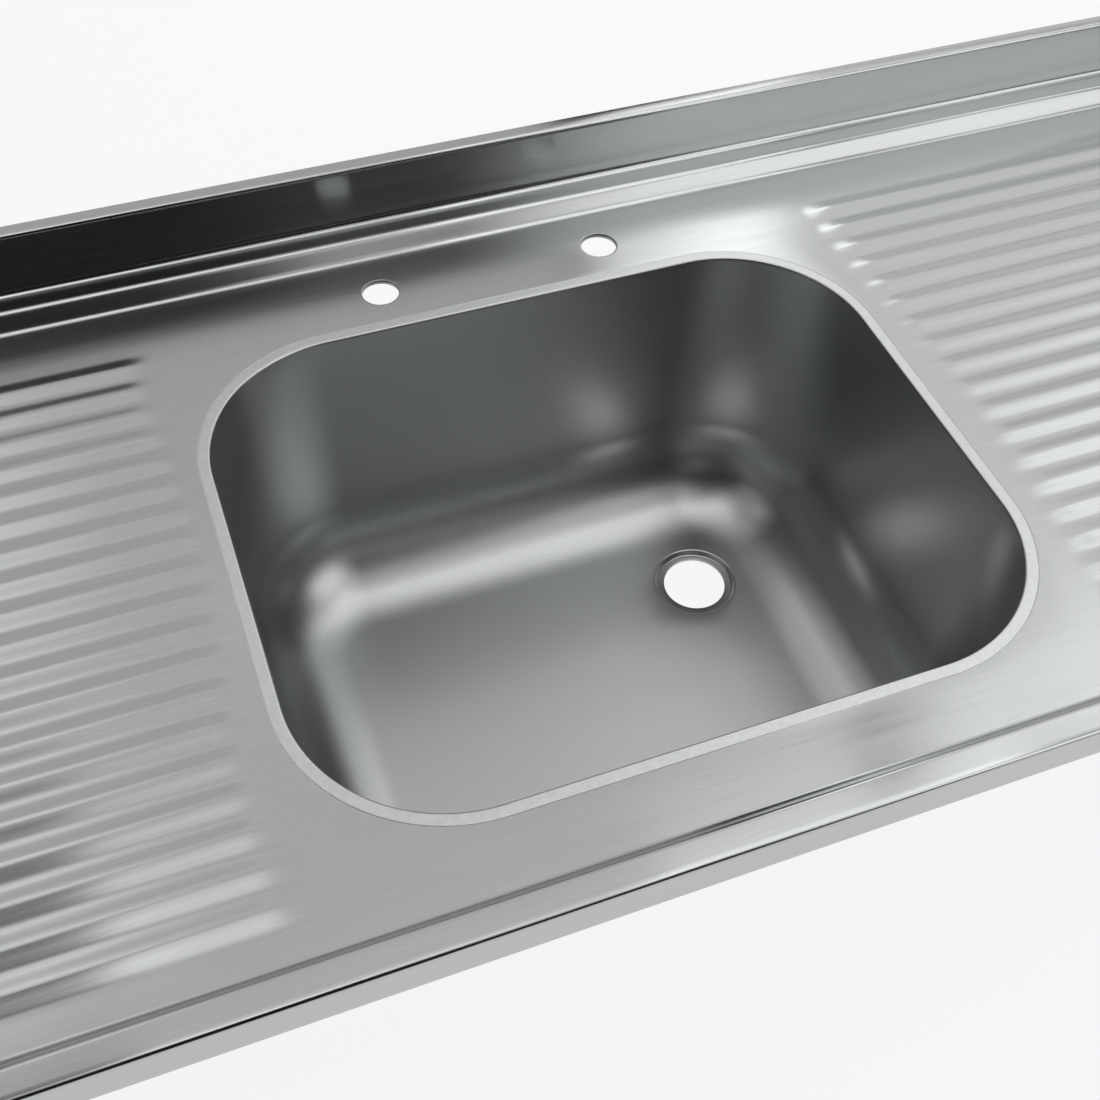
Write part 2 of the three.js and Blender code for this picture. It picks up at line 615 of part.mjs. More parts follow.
place("worktop", worktop(), brushedSteel);
place("bowl", bowl(), satinSteel);
place("bowl_weld_seam", bowlWeld(), weldSteel);
place("upstand_end_cap_left", upstandEndCap(-1), brushedSteel);
place("upstand_end_cap_right", upstandEndCap(1), brushedSteel);
place("tap_ledge_plate", tapLedgePlate(), galvanised);
channelCentres.forEach((x, k) => place(`drainer_channel_${k + 1}`, drainerChannel(x), galvanised));
place("front_rail", frontRail(), galvanised);
place("rear_rail", railWithHole, galvanised);
place("drainer_pad_left", drainerPad(-1), padBitumen);
place("drainer_pad_right", drainerPad(1), padBitumen);
place("bowl_floor_pad", bowlFloorPad(), padBitumen);
for (const [label, sideX, sideY] of [
  ["front_left", -1, -1], ["front_right", 1, -1], ["rear_left", -1, 1], ["rear_right", 1, 1],
]) {
  const { plate, nut } = gusset(sideX, sideY);
  place(`corner_gusset_${label}`, plate, galvanised);
  place(`corner_nut_${label}`, nut, zincPlate);
}
place("earth_screw", earthScrew(), zincPlate);
place("earth_tag", earthTag(flangeTop + SEAT_GAP), brass);
const washerZ = flangeTop + SEAT_GAP * 2 + EARTH_TAG_SHEET;
place("earth_washer", earthRing(EARTH_WASHER_RADIUS, washerZ, EARTH_WASHER_THICKNESS), zincPlate);
const nutZ = washerZ + EARTH_WASHER_THICKNESS + SEAT_GAP;
place("earth_nut",
  hexNut(EARTH_NUT_ACROSS_FLATS, EARTH_NUT_HEIGHT, earthBore, earthX, earthY, nutZ), zincPlate);

export default sink;
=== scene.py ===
# A stainless steel sink top on a pale studio floor: a deep bowl between two fluted drainers, with a
# tap ledge and an upstand behind it. Sizes are in millimetres, and become metres in the meshes.
import math

import bpy
import numpy as np
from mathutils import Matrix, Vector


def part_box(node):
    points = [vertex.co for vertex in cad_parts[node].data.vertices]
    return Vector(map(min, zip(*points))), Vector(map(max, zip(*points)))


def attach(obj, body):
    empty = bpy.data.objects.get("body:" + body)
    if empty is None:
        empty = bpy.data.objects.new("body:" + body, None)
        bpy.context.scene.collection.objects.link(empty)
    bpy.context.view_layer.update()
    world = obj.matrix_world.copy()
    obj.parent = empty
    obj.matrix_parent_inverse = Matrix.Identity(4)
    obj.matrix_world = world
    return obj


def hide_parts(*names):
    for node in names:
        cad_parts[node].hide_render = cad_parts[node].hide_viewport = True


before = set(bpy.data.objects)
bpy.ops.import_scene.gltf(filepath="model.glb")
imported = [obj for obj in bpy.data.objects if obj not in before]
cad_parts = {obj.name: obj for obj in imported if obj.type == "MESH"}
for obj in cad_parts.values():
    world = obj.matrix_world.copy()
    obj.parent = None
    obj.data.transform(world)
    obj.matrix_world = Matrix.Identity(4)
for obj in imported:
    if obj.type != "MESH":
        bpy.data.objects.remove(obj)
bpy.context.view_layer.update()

# ---- the camera ------------------------------------------------------------------------------
# It stands in front of the sink and to its left, and looks down into the bowl, turned a little about
# its own axis.
camera_data = bpy.data.cameras.new("camera")
camera_data.sensor_width = 36.0
camera_data.lens = 45.09
camera_data.clip_end = 100.0
camera = bpy.data.objects.new("camera", camera_data)
camera.location = (-0.2665, -0.5761, 0.9375)
camera.rotation_euler = [math.radians(angle) for angle in (39.111, -1.551, -20.384)]
bpy.context.scene.collection.objects.link(camera)
bpy.context.scene.camera = camera

# ---- the worktop -----------------------------------------------------------------------------
# One sheet of 1.2 mm stainless steel, pressed and folded. The press leaves the raised rim and the
# flutes, and the folds make the aprons with their returns and the hollow upstand at the back.
MM = 0.001
SHEET = 1.2
HALF_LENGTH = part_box("worktop")[1].x / MM
HALF_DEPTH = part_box("worktop")[1].y / MM
UPSTAND_TOP = 62.0
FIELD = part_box("worktop")[1].z / MM - UPSTAND_TOP  # the field's height over the floor

RIM_HEIGHT = 11.8
RIM_WIDTH = 18.3
RIM_SLOPE = 7.5
RIM_ROLL = 2.6
APRON_BOTTOM = -17.5
APRON_BEND = 1.6
RETURN_WIDTH = 12.0
OUTER_CORNER = 5.0
FIELD_CORNER = 16.0
LEDGE_WIDTH = 18.9
LEDGE_SLOPE = 11.1
UPSTAND_THICKNESS = 13.9
UPSTAND_FOOT = 5.0
UPSTAND_ROLL = 3.2
UPSTAND_RETURN = 22.0
UPSTAND_END_GAP = 0.2

FLUTE_PITCH = 24.16
FLUTE_HEIGHT = 1.45
FLUTE_COUNT = 19
FLUTE_INNER_END = 268.0
FLUTE_OUTER_END = HALF_LENGTH - RIM_WIDTH - RIM_SLOPE - 20.0
FLUTE_NOSE = 28.0  # the length over which a flute fades out
NOSE_REACH = 9.0  # how far its faint tip runs on past its end
VALLEY_SHIFT = 0.8  # how far in front of a crest the middle between its two valleys lies
LEFT_FLUTE_Y = 194.3
RIGHT_FLUTE_Y = 200.6

BOWL_HALF = np.array([245.0, 199.4])
BOWL_CENTRE = np.array([0.0, -23.3])
BOWL_CORNER = 103.0
FLANGE = 7.6
SEAM_GAP = 0.3
TAP_HOLE = 14.0
TAP_X = 88.4
TAP_Y = 216.3

UPSTAND_FRONT = HALF_DEPTH - UPSTAND_THICKNESS
foot_low = np.array([-HALF_LENGTH + RIM_WIDTH + RIM_SLOPE, -HALF_DEPTH + RIM_WIDTH + RIM_SLOPE])
foot_high = np.array([HALF_LENGTH - RIM_WIDTH - RIM_SLOPE, UPSTAND_FRONT - LEDGE_WIDTH - LEDGE_SLOPE])


def box_distance(x, y, low, high, radius):
    """How far (x, y) is outside a rectangle with round corners, negative inside: the length of what
    sticks out past the corner centres, less the corner radius."""
    dx = np.abs(x - (low[0] + high[0]) / 2) - (high[0] - low[0]) / 2 + radius
    dy = np.abs(y - (low[1] + high[1]) / 2) - (high[1] - low[1]) / 2 + radius
    outside = np.hypot(np.maximum(dx, 0), np.maximum(dy, 0))
    return outside + np.minimum(np.maximum(dx, dy), 0) - radius


def step_share(x, y):
    """How far up the step from the field to the rim a point lies: the share t for which the outline
    grown by t slopes passes through it, found by halving."""
    low, high = np.full(x.shape, -1.0), np.full(x.shape, 3.0)
    for _ in range(30):
        t = (low + high) / 2
        grown_low = [foot_low[0] - RIM_SLOPE * t, foot_low[1] - RIM_SLOPE * t]
        grown_high = [foot_high[0] + RIM_SLOPE * t, foot_high[1] + LEDGE_SLOPE * t]
        outside = box_distance(x, y, grown_low, grown_high, FIELD_CORNER + RIM_SLOPE * t) > 0
        low, high = np.where(outside, t, low), np.where(outside, high, t)
    return low


STEP_BEND = 0.2  # the part of the step that bends, on either side of its foot and of its head


def step_height(t):
    """A straight slope from 0 to 1 with a parabola at each end, which make both bends round."""
    foot = np.clip(t + STEP_BEND, 0, 2 * STEP_BEND) ** 2 / (4 * STEP_BEND)
    head = np.clip(1 + STEP_BEND - t, 0, 2 * STEP_BEND) ** 2 / (4 * STEP_BEND)
    return RIM_HEIGHT * np.where(t < STEP_BEND, foot, np.where(t > 1 - STEP_BEND, 1 - head, t))


# A flute's slopes from valley to valley, towards the front: up its steeper back, over a narrow round
# crest, and down its longer front. Added up, they give its height in mm from the crest.
FLUTE_SLOPES = [(-11.3, 0), (-7.4, 0.158), (-1.7, 0.158), (1.7, -0.135), (9.6, -0.135), (12.86, 0)]
forward = np.linspace(FLUTE_SLOPES[0][0], FLUTE_SLOPES[-1][0], 400)
rise = np.cumsum(np.interp(forward, *zip(*FLUTE_SLOPES)))
rise = rise / rise.max()


def flute_height(x, y):
    """Ribs across y, whose heights come from the table of slopes, times a share t * t * (3 - 2 * t)
    at both ends, where t runs from 0 to 1 over the nose: a rib fades out into the field."""
    first = np.where(x < 0, LEFT_FLUTE_Y, RIGHT_FLUTE_Y)
    count = np.clip(np.round((first - y - VALLEY_SHIFT) / FLUTE_PITCH), 0, FLUTE_COUNT - 1)
    rib = np.interp(first - count * FLUTE_PITCH - y, forward, rise)
    from_end = np.minimum(np.abs(x) - FLUTE_INNER_END, FLUTE_OUTER_END - np.abs(x))
    t = np.clip((from_end + NOSE_REACH) / FLUTE_NOSE, 0, 1)
    return FLUTE_HEIGHT * rib * t * t * (3 - 2 * t)


def spread(*stretches):
    """Positions along a line: each stretch is (start, stop, how many steps)."""
    parts = [np.linspace(a, b, steps + 1)[:-1] for a, b, steps in stretches]
    return np.concatenate([*parts, [stretches[-1][1]]])


def arc(centre, radius, start, stop, steps):
    """Points of a circle from one angle to another, in degrees."""
    angle = np.radians(np.linspace(start, stop, steps + 1))
    return np.stack([centre[0] + radius * np.cos(angle), centre[1] + radius * np.sin(angle)], 1)


def grid_faces(rows, columns, first=0, closed=False):
    """The quads of a grid of points, row by row. A closed grid joins its last column to its first."""
    across = columns if closed else columns - 1
    i, j = np.meshgrid(np.arange(rows - 1), np.arange(across), indexing="ij")
    k = (j + 1) % columns
    quads = np.stack([i * columns + j, i * columns + k, (i + 1) * columns + k, (i + 1) * columns + j], -1)
    return first + quads.reshape(-1, 4)


def towards(border, centre, low, high, radius):
    """Where straight lines from a centre to the border points cross a round-cornered outline."""
    near, far = np.zeros(len(border)), np.ones(len(border))
    for _ in range(30):
        t = (near + far) / 2
        p = centre + (border - centre) * t[:, None]
        outside = box_distance(p[:, 0], p[:, 1], low, high, radius) > 0
        near, far = np.where(outside, near, t), np.where(outside, t, far)
    return centre + (border - centre) * near[:, None]


def merged(points, faces):
    """The same surface with points in one place made one. Quads that close up become triangles."""
    keys = np.round(points / 1e-4).astype(np.int64)
    _, first, back = np.unique(keys, axis=0, return_index=True, return_inverse=True)
    return points[first], back.reshape(-1)[faces]


def point_normals(points, faces):
    """Each point's mean normal, every quad counted by its area."""
    a, b, c, d = (points[faces[:, k]] for k in range(4))
    normal = np.cross(c - a, d - b)
    total = np.zeros_like(points)
    for k in range(4):
        np.add.at(total, faces[:, k], normal)
    return total / np.maximum(np.linalg.norm(total, axis=1, keepdims=True), 1e-12)


def thickened(points, faces, thickness):
    """A closed sheet: the surface, a copy of it one thickness below along the normals, and a strip
    along every open edge."""
    under = points - thickness * point_normals(points, faces)
    count = len(points)
    edges = np.concatenate([faces[:, [k, (k + 1) % 4]] for k in range(4)])
    edges = edges[edges[:, 0] != edges[:, 1]]
    key = np.sort(edges, axis=1)
    _, index, uses = np.unique(key, axis=0, return_index=True, return_counts=True)
    rim = edges[index[uses == 1]]
    strip = np.stack([rim[:, 1], rim[:, 0], rim[:, 0] + count, rim[:, 1] + count], 1)
    return np.concatenate([points, under]), np.concatenate([faces, faces[:, ::-1] + count, strip])


def make_piece(name, points, faces, sharp=40.0):
    """A mesh object from points in mm over the field, smooth but for bends sharper than an angle."""
    mesh = bpy.data.meshes.new(name)
    place = (points + np.array([0, 0, FIELD])) * MM
    loops = [list(dict.fromkeys(face)) for face in faces.tolist()]
    mesh.from_pydata(place.tolist(), [], [face for face in loops if len(face) > 2])
    mesh.polygons.foreach_set("use_smooth", np.ones(len(mesh.polygons), bool))
    mesh.set_sharp_from_angle(angle=math.radians(sharp))
    piece = bpy.data.objects.new(name, mesh)
    bpy.context.scene.collection.objects.link(piece)
    return piece


# The lines of the grid: across x, and up y for the left and the right drainer. They are close
# together at the taps, at the flutes' ends and on the step to the rim, a little past both bends.
TAP_FIELD = 22.0  # half the side of the square that is left out round a tap hole
CENTRE_X = 258.0  # half the width of the field that is left out round the bowl
INNER_NOSE = 288.0  # where the flutes have reached their full height
OUTER_NOSE = (FLUTE_OUTER_END - 20, FLUTE_OUTER_END + 8)
tap_edges = (TAP_X - TAP_FIELD, TAP_X + TAP_FIELD)
half_x = spread(
    (0, tap_edges[0], 6), (tap_edges[0], tap_edges[1], 12), (tap_edges[1], CENTRE_X, 16),
    (CENTRE_X, INNER_NOSE, 17), (INNER_NOSE, OUTER_NOSE[0], 5), (*OUTER_NOSE, 10),
    (OUTER_NOSE[1], foot_high[0] - 3, 3), (foot_high[0] - 3, foot_high[0] + 11, 15),
    (foot_high[0] + 11, HALF_LENGTH - OUTER_CORNER, 2))
lines_x = np.concatenate([-half_x[:0:-1], half_x])

# rows about a crest, from front to back, which keep to the bends of the table of slopes
FLUTE_ROWS = np.array([-12.86, -11.3, -9.6, -5.7, -1.7, 0.0, 1.7, 4.5, 7.4, 9.4])
VALLEY_BEHIND = 11.3  # from a crest back to the valley behind it
front_rows = spread(
    (-HALF_DEPTH + OUTER_CORNER, foot_low[1] - 10, 2), (foot_low[1] - 10, foot_low[1] + 3, 16),
    (foot_low[1] + 3, foot_low[1] + FIELD_CORNER, 8))
BEHIND_FLUTES = 213.0  # the first row behind both drainers
TAP_ROWS = 8
rear_rows = spread(
    (BEHIND_FLUTES, TAP_Y + TAP_FIELD, TAP_ROWS - 1), (TAP_Y + TAP_FIELD, foot_high[1] - 3, 9),
    (foot_high[1] - 3, foot_high[1] + 14, 18),
    (foot_high[1] + 14, UPSTAND_FRONT - UPSTAND_FOOT, 2))


def flute_rows(first):
    """The rows of all flutes, from the front one to the first one, which is at the back."""
    crests = first - FLUTE_PITCH * np.arange(FLUTE_COUNT)[::-1]
    return np.append(crests[:, None] + FLUTE_ROWS, first + VALLEY_BEHIND)


left_rows, right_rows = (
    np.concatenate([front_rows, flute_rows(first), rear_rows]) for first in (LEFT_FLUTE_Y, RIGHT_FLUTE_Y))
to_right = np.clip((lines_x + CENTRE_X) / (2 * CENTRE_X), 0, 1)
grid_y = left_rows[:, None] * (1 - to_right) + right_rows[:, None] * to_right
grid_x = np.broadcast_to(lines_x, grid_y.shape)
rows, columns = grid_y.shape
grid = np.stack([grid_x, grid_y, np.zeros_like(grid_y)], -1).reshape(-1, 3)

# The grid leaves out a field round the bowl, up to a row on the first flute's front, and one round
# each tap hole.
ROWS_BACK = 7
bowl_front = len(front_rows)
bowl_rear = len(front_rows) + FLUTE_COUNT * len(FLUTE_ROWS) - ROWS_BACK
tap_rear = len(front_rows) + FLUTE_COUNT * len(FLUTE_ROWS) + TAP_ROWS


def column(x):
    """The grid's column nearest to x."""
    return int(np.argmin(np.abs(lines_x - x)))


left_out = [
    (bowl_front, bowl_rear, column(-CENTRE_X), column(CENTRE_X)),
    (bowl_rear, tap_rear, column(-tap_edges[1]), column(-tap_edges[0])),
    (bowl_rear, tap_rear, column(tap_edges[0]), column(tap_edges[1])),
]
quads = grid_faces(rows, columns)
row_of, column_of = quads[:, 0] // columns, quads[:, 0] % columns
kept = np.ones(len(quads), bool)
for r0, r1, c0, c1 in left_out:
    kept &= ~((row_of >= r0) & (row_of < r1) & (column_of >= c0) & (column_of < c1))
skin_points, skin_faces = [grid], [quads[kept]]


def add_patch(points, faces):
    """Adds a surface to the sheet, with its faces counted on from the points already there."""
    skin_faces.append(faces + sum(len(p) for p in skin_points))
    skin_points.append(points)


def hole_border(r0, r1, c0, c1):
    """The grid points round a left-out field, counter-clockwise."""
    table = grid.reshape(rows, columns, 3)
    return np.concatenate([
        table[r0, c0:c1], table[r0:r1, c1], table[r1, c1:c0:-1], table[r1:r0:-1, c0]])


EDGE_ROLL = 0.5  # how wide the rolled edge of a hole is
ROLL_DROPS = (0.02, 0.15)  # how far the edge has gone down part of the way, and at the end


def add_hole(border, edge, inner, shares):
    """Rings of points from the border of a left-out field to the edge of the hole in it, which is
    rolled down a little from the inner line on."""
    rings = [np.column_stack([border[:, :2] * (1 - s) + inner * s, np.zeros(len(border))]) for s in shares]
    rings.append(np.column_stack([edge * 0.6 + inner * 0.4, np.full(len(border), -ROLL_DROPS[0])]))
    rings.append(np.column_stack([edge, np.full(len(border), -ROLL_DROPS[1])]))
    add_patch(np.concatenate(rings), grid_faces(len(rings), len(border), closed=True))


border = hole_border(*left_out[0])
edge, inner = (
    towards(border[:, :2], BOWL_CENTRE, BOWL_CENTRE - BOWL_HALF - grown, BOWL_CENTRE + BOWL_HALF + grown,
            BOWL_CORNER + grown)
    for grown in (FLANGE + SEAM_GAP, FLANGE + SEAM_GAP + EDGE_ROLL))
add_hole(border, edge, inner, (0, 0.5, 1))
for hole, side in ((left_out[1], -1), (left_out[2], 1)):
    border = hole_border(*hole)
    turn = np.radians(np.linspace(-135, 225, len(border), endpoint=False))
    round_line = np.stack([np.cos(turn), np.sin(turn)], 1)
    edge, inner = (
        np.array([side * TAP_X, TAP_Y]) + radius * round_line for radius in (TAP_HOLE, TAP_HOLE + EDGE_ROLL))
    add_hole(border, edge, inner, (0, 0.35, 0.7, 0.9, 1))

# the upstand: the sheet turns up at the ledge, over the top and down the back
foot = UPSTAND_FOOT
roll = UPSTAND_ROLL
upstand = np.concatenate([
    arc((UPSTAND_FRONT - foot, RIM_HEIGHT + foot), foot, -90, 0, 7),
    [[UPSTAND_FRONT, RIM_HEIGHT + foot + 1], [UPSTAND_FRONT, UPSTAND_TOP - roll - 1]],
    arc((UPSTAND_FRONT + roll, UPSTAND_TOP - roll), roll, 180, 90, 5),
    arc((HALF_DEPTH - roll, UPSTAND_TOP - roll), roll, 90, 0, 5),
    [[HALF_DEPTH, UPSTAND_TOP - roll - 1], [HALF_DEPTH, UPSTAND_TOP - UPSTAND_RETURN]],
])
upstand_x = np.concatenate([
    [-HALF_LENGTH + UPSTAND_END_GAP], lines_x, [HALF_LENGTH - UPSTAND_END_GAP]])
folded = np.stack([
    np.broadcast_to(upstand_x, (len(upstand), len(upstand_x))),
    np.broadcast_to(upstand[:, :1], (len(upstand), len(upstand_x))),
    np.broadcast_to(upstand[:, 1:], (len(upstand), len(upstand_x)))], -1)
add_patch(folded.reshape(-1, 3), grid_faces(len(upstand), len(upstand_x)))

# the apron: the rim rolls over along the left side, the front and the right side, hangs down and
# turns in at the bottom
table = grid.reshape(rows, columns, 3)
CORNER_STEPS = 8
rear_y = HALF_DEPTH - SHEET
left_side = np.concatenate([[[-HALF_LENGTH + OUTER_CORNER, rear_y]], table[::-1, 0, :2]])
right_side = np.concatenate([table[:, -1, :2], [[HALF_LENGTH - OUTER_CORNER, rear_y]]])
front_side = table[0, :, :2]
turn = np.linspace(0, 90, CORNER_STEPS + 1)[1:-1]
base = np.concatenate([
    left_side, np.repeat(left_side[-1:], len(turn), 0), front_side,
    np.repeat(right_side[:1], len(turn), 0), right_side])
heading = np.radians(np.concatenate([
    np.full(len(left_side), 180), 180 + turn, np.full(len(front_side), 270),
    270 + turn, np.full(len(right_side), 360)]))
outwards = np.stack([np.cos(heading), np.sin(heading)], 1)
apron = np.concatenate([
    [[0, RIM_HEIGHT]],
    arc((OUTER_CORNER - RIM_ROLL, RIM_HEIGHT - RIM_ROLL), RIM_ROLL, 90, 0, 6),
    [[OUTER_CORNER, RIM_HEIGHT - RIM_ROLL - 0.8], [OUTER_CORNER, APRON_BOTTOM + APRON_BEND + 0.8]],
    arc((OUTER_CORNER - APRON_BEND, APRON_BOTTOM + APRON_BEND), APRON_BEND, 0, -90, 3),
    [[OUTER_CORNER - RETURN_WIDTH, APRON_BOTTOM]],
])
apron_points = np.stack([
    np.column_stack([base + outwards * out, np.full(len(base), z)]) for out, z in apron])
add_patch(apron_points.reshape(-1, 3), grid_faces(len(apron), len(base))[:, ::-1])

skin, faces = merged(np.concatenate(skin_points), np.concatenate(skin_faces))
on_top = (skin[:, 2] == 0) & (skin[:, 1] < UPSTAND_FRONT - UPSTAND_FOOT + 0.01)
skin[on_top, 2] = (step_height(step_share(skin[on_top, 0], skin[on_top, 1]))
                   + flute_height(skin[on_top, 0], skin[on_top, 1]))
skin, faces = thickened(skin, faces, SHEET)
worktop = make_piece("worktop_sheet", skin, faces)


def srgb(code):
    """A hex colour as linear red, green and blue."""
    values = [int(code[k:k + 2], 16) / 255 for k in (1, 3, 5)]
    return [v / 12.92 if v <= 0.04045 else ((v + 0.055) / 1.055) ** 2.4 for v in values]


def add(tree, kind, settings=None, inputs=None):
    """A node of a kind, with its settings, and with its sockets set to values or joined to outputs."""
    node = tree.nodes.new(kind)
    for name, value in (settings or {}).items():
        setattr(node, name, value)
    for name, value in (inputs or {}).items():
        if isinstance(value, bpy.types.NodeSocket):
            tree.links.new(value, node.inputs[name])
        else:
            node.inputs[name].default_value = value
    return node


def new_material(name):
    """A material with an empty node tree."""
    material = bpy.data.materials.new(name)
    material.use_nodes = True
    material.node_tree.nodes.clear()
    return material, material.node_tree


BUMP_DEPTH = 0.5  # mm of relief at full strength


def streaks(tree, length, width, detail=3.0):
    """Noise drawn out along x: a streak's length and width in mm."""
    where = add(tree, "ShaderNodeTexCoord").outputs["Object"]
    scale = (1 / (length * MM), 1 / (width * MM), 1 / (width * MM))
    drawn = add(tree, "ShaderNodeMapping", inputs={"Vector": where, "Scale": scale})
    noise = add(tree, "ShaderNodeTexNoise", inputs={
        "Vector": drawn.outputs["Vector"], "Scale": 1.0, "Detail": detail, "Roughness": 0.6})
    return noise.outputs["Fac"]


def finish_metal(tree, colours, tone, roughness, gloss, relief_of, relief, anisotropic=0.0, core=(0.3, 0.7)):
    """Joins a metal's colours, roughness and relief to its shader. The core of the tone pattern runs
    from the first colour to the second, and the core of the gloss pattern through the roughness.
    Where it is ground, the scratches run along x, and a reflection spreads across them."""
    shade = add(tree, "ShaderNodeMapRange", inputs={
        "Value": tone, "From Min": core[0], "From Max": core[1], "To Min": 0, "To Max": 1})
    mix = add(tree, "ShaderNodeMix", {"data_type": "RGBA"})
    tree.links.new(shade.outputs["Result"], mix.inputs["Factor"])
    mix.inputs["A"].default_value = (*srgb(colours[0]), 1)
    mix.inputs["B"].default_value = (*srgb(colours[1]), 1)
    rough = add(tree, "ShaderNodeMapRange", inputs={
        "Value": gloss, "From Min": core[0], "From Max": core[1],
        "To Min": roughness[0], "To Max": roughness[1]})
    bumps = add(tree, "ShaderNodeBump", inputs={
        "Height": relief_of, "Strength": relief, "Distance": BUMP_DEPTH * MM})
    along = add(tree, "ShaderNodeCombineXYZ", inputs={"X": 1.0, "Y": 0.002, "Z": 0.003})
    shader = add(tree, "ShaderNodeBsdfPrincipled", inputs={
        "Base Color": mix.outputs["Result"], "Metallic": 1.0, "Roughness": rough.outputs["Result"],
        "Normal": bumps.outputs["Normal"], "Anisotropic": anisotropic, "Anisotropic Rotation": 0.25,
        "Tangent": along.outputs["Vector"]})
    add(tree, "ShaderNodeOutputMaterial", inputs={"Surface": shader.outputs["BSDF"]})


# Stainless steel, ground with a belt along the length: fine long scratches that spread a
# reflection across them. Real ones are well under 0.1 mm wide, and are drawn 0.7 mm wide so that
# they show.
brushed, tree = new_material("brushed_stainless")
fine = streaks(tree, 60, 0.7)
broad = streaks(tree, 260, 7)
finish_metal(tree, ("#B5B7B7", "#BBBDBD"), fine, (0.16, 0.19), broad, fine, 0.02, anisotropic=0.75)
worktop.data.materials.append(brushed)
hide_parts("worktop")
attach(worktop, "root")

# ---- the bowl --------------------------------------------------------------------------------
# A deep-drawn pressing in 1.2 mm steel. Its flange is welded into the worktop and ground flush, and
# its wall runs down with a slight draft into a large radius round the floor.
BOWL_DEPTH = 246.5
BOWL_DRAFT = 6.0
FLOOR_RADIUS = 72.0
MOUTH_ROLL = 1.8
MOUTH_EASE = 0.7
DRAIN = np.array([126.7, 52.4])
DRAIN_HOLE = 26.0
DRAIN_SEAT = 33.9
DRAIN_STEP = 3.5
DRAIN_SLOPE = 2.5

SIDE_STEPS = 24
CORNER_PLACES = BOWL_CENTRE + (BOWL_HALF - BOWL_CORNER) * np.array([(1, 1), (-1, 1), (-1, -1), (1, -1)])
floor_corner = BOWL_CORNER - BOWL_DRAFT - FLOOR_RADIUS


def side_shares(k):
    """Shares of the floor's side k that are seen at equal angles from the drain. A ray from D along
    u meets the side A + s * E where s = cross(A - D, u) / cross(u, E)."""
    start = arc(CORNER_PLACES[k], floor_corner, 90 * k + 90, 90 * k + 90, 0)[0] - DRAIN
    stop = arc(CORNER_PLACES[(k + 1) % 4], floor_corner, 90 * k + 90, 90 * k + 90, 0)[0] - DRAIN
    first, last = math.atan2(start[1], start[0]), math.atan2(stop[1], stop[0])
    angle = np.linspace(first, first + (last - first) % (2 * math.pi), SIDE_STEPS + 1)[1:-1]
    ray = np.stack([np.cos(angle), np.sin(angle)], 1)
    side = stop - start
    return ((start[0] * ray[:, 1] - start[1] * ray[:, 0])
            / (ray[:, 0] * side[1] - ray[:, 1] * side[0]))


shares = [side_shares(k)[:, None] for k in range(4)]


def bowl_line(inset):
    """The bowl's mouth moved inwards, counter-clockwise: a quarter circle at each corner, and a
    straight side after it."""
    bends = [arc(CORNER_PLACES[k], BOWL_CORNER - inset, 90 * k, 90 * k + 90, 36) for k in range(4)]
    points = []
    for k in range(4):
        points += [bends[k], bends[k][-1] * (1 - shares[k]) + bends[(k + 1) % 4][0] * shares[k]]
    return np.concatenate(points)


# the section from the flange's edge over the mouth and down the wall, as inset and height
wall_foot = -BOWL_DEPTH + FLOOR_RADIUS
bend = np.radians(np.linspace(0, 90, 37))
profile = np.concatenate([
    [[-FLANGE - 0.2, -ROLL_DROPS[1]], [-FLANGE - 0.1, -ROLL_DROPS[0]], [-FLANGE + 0.1, 0]],
    [[-FLANGE + 0.8, 0], [-MOUTH_ROLL + MOUTH_EASE - 0.5, 0]],
    arc((MOUTH_EASE - MOUTH_ROLL, -MOUTH_ROLL), MOUTH_ROLL, 90, 0, 8),
    np.stack([np.linspace(MOUTH_EASE, BOWL_DRAFT, 16), np.linspace(-MOUTH_ROLL, wall_foot, 16)], 1)[1:-1],
    np.stack([BOWL_DRAFT + FLOOR_RADIUS * (1 - np.cos(bend)), wall_foot - FLOOR_RADIUS * np.sin(bend)], 1),
])
rings = []
for inset, z in profile:
    line = bowl_line(inset)
    rings.append(np.column_stack([line, np.full(len(line), z)]))
around = rings[-1][:, :2] - DRAIN
angle = np.arctan2(around[:, 1], around[:, 0])
spoke = np.stack([np.cos(angle), np.sin(angle)], 1)
lip = DRAIN + spoke * (DRAIN_SEAT + 1.6)
for share in np.linspace(0, 1, 13)[1:]:
    flat = rings[len(profile) - 1][:, :2] * (1 - share) + lip * share
    rings.append(np.column_stack([flat, np.full(len(flat), -BOWL_DEPTH)]))
# the drain: over the seat's edge, down its slope and over the edge of the hole, as radius and drop
seat = [
    (DRAIN_SEAT + 0.9, -0.1), (DRAIN_SEAT + 0.3, -0.4), (DRAIN_SEAT - 0.1, -1.0),
    (DRAIN_SEAT - DRAIN_SLOPE + 0.7, -DRAIN_STEP + 0.5), (DRAIN_SEAT - DRAIN_SLOPE + 0.2, -DRAIN_STEP + 0.1),
    (DRAIN_SEAT - DRAIN_SLOPE - 0.5, -DRAIN_STEP), (DRAIN_HOLE + 0.6, -DRAIN_STEP),
    (DRAIN_HOLE + 0.15, -DRAIN_STEP - 0.15), (DRAIN_HOLE, -DRAIN_STEP - 0.5)]
for radius, drop in seat:
    rings.append(np.column_stack([DRAIN + spoke * radius, np.full(len(spoke), -BOWL_DEPTH + drop)]))
bowl_points, bowl_faces = np.concatenate(rings), grid_faces(len(rings), len(rings[0]), closed=True)
bowl_points, bowl_faces = thickened(bowl_points, bowl_faces, SHEET)
bowl = make_piece("bowl_pressing", bowl_points, bowl_faces)

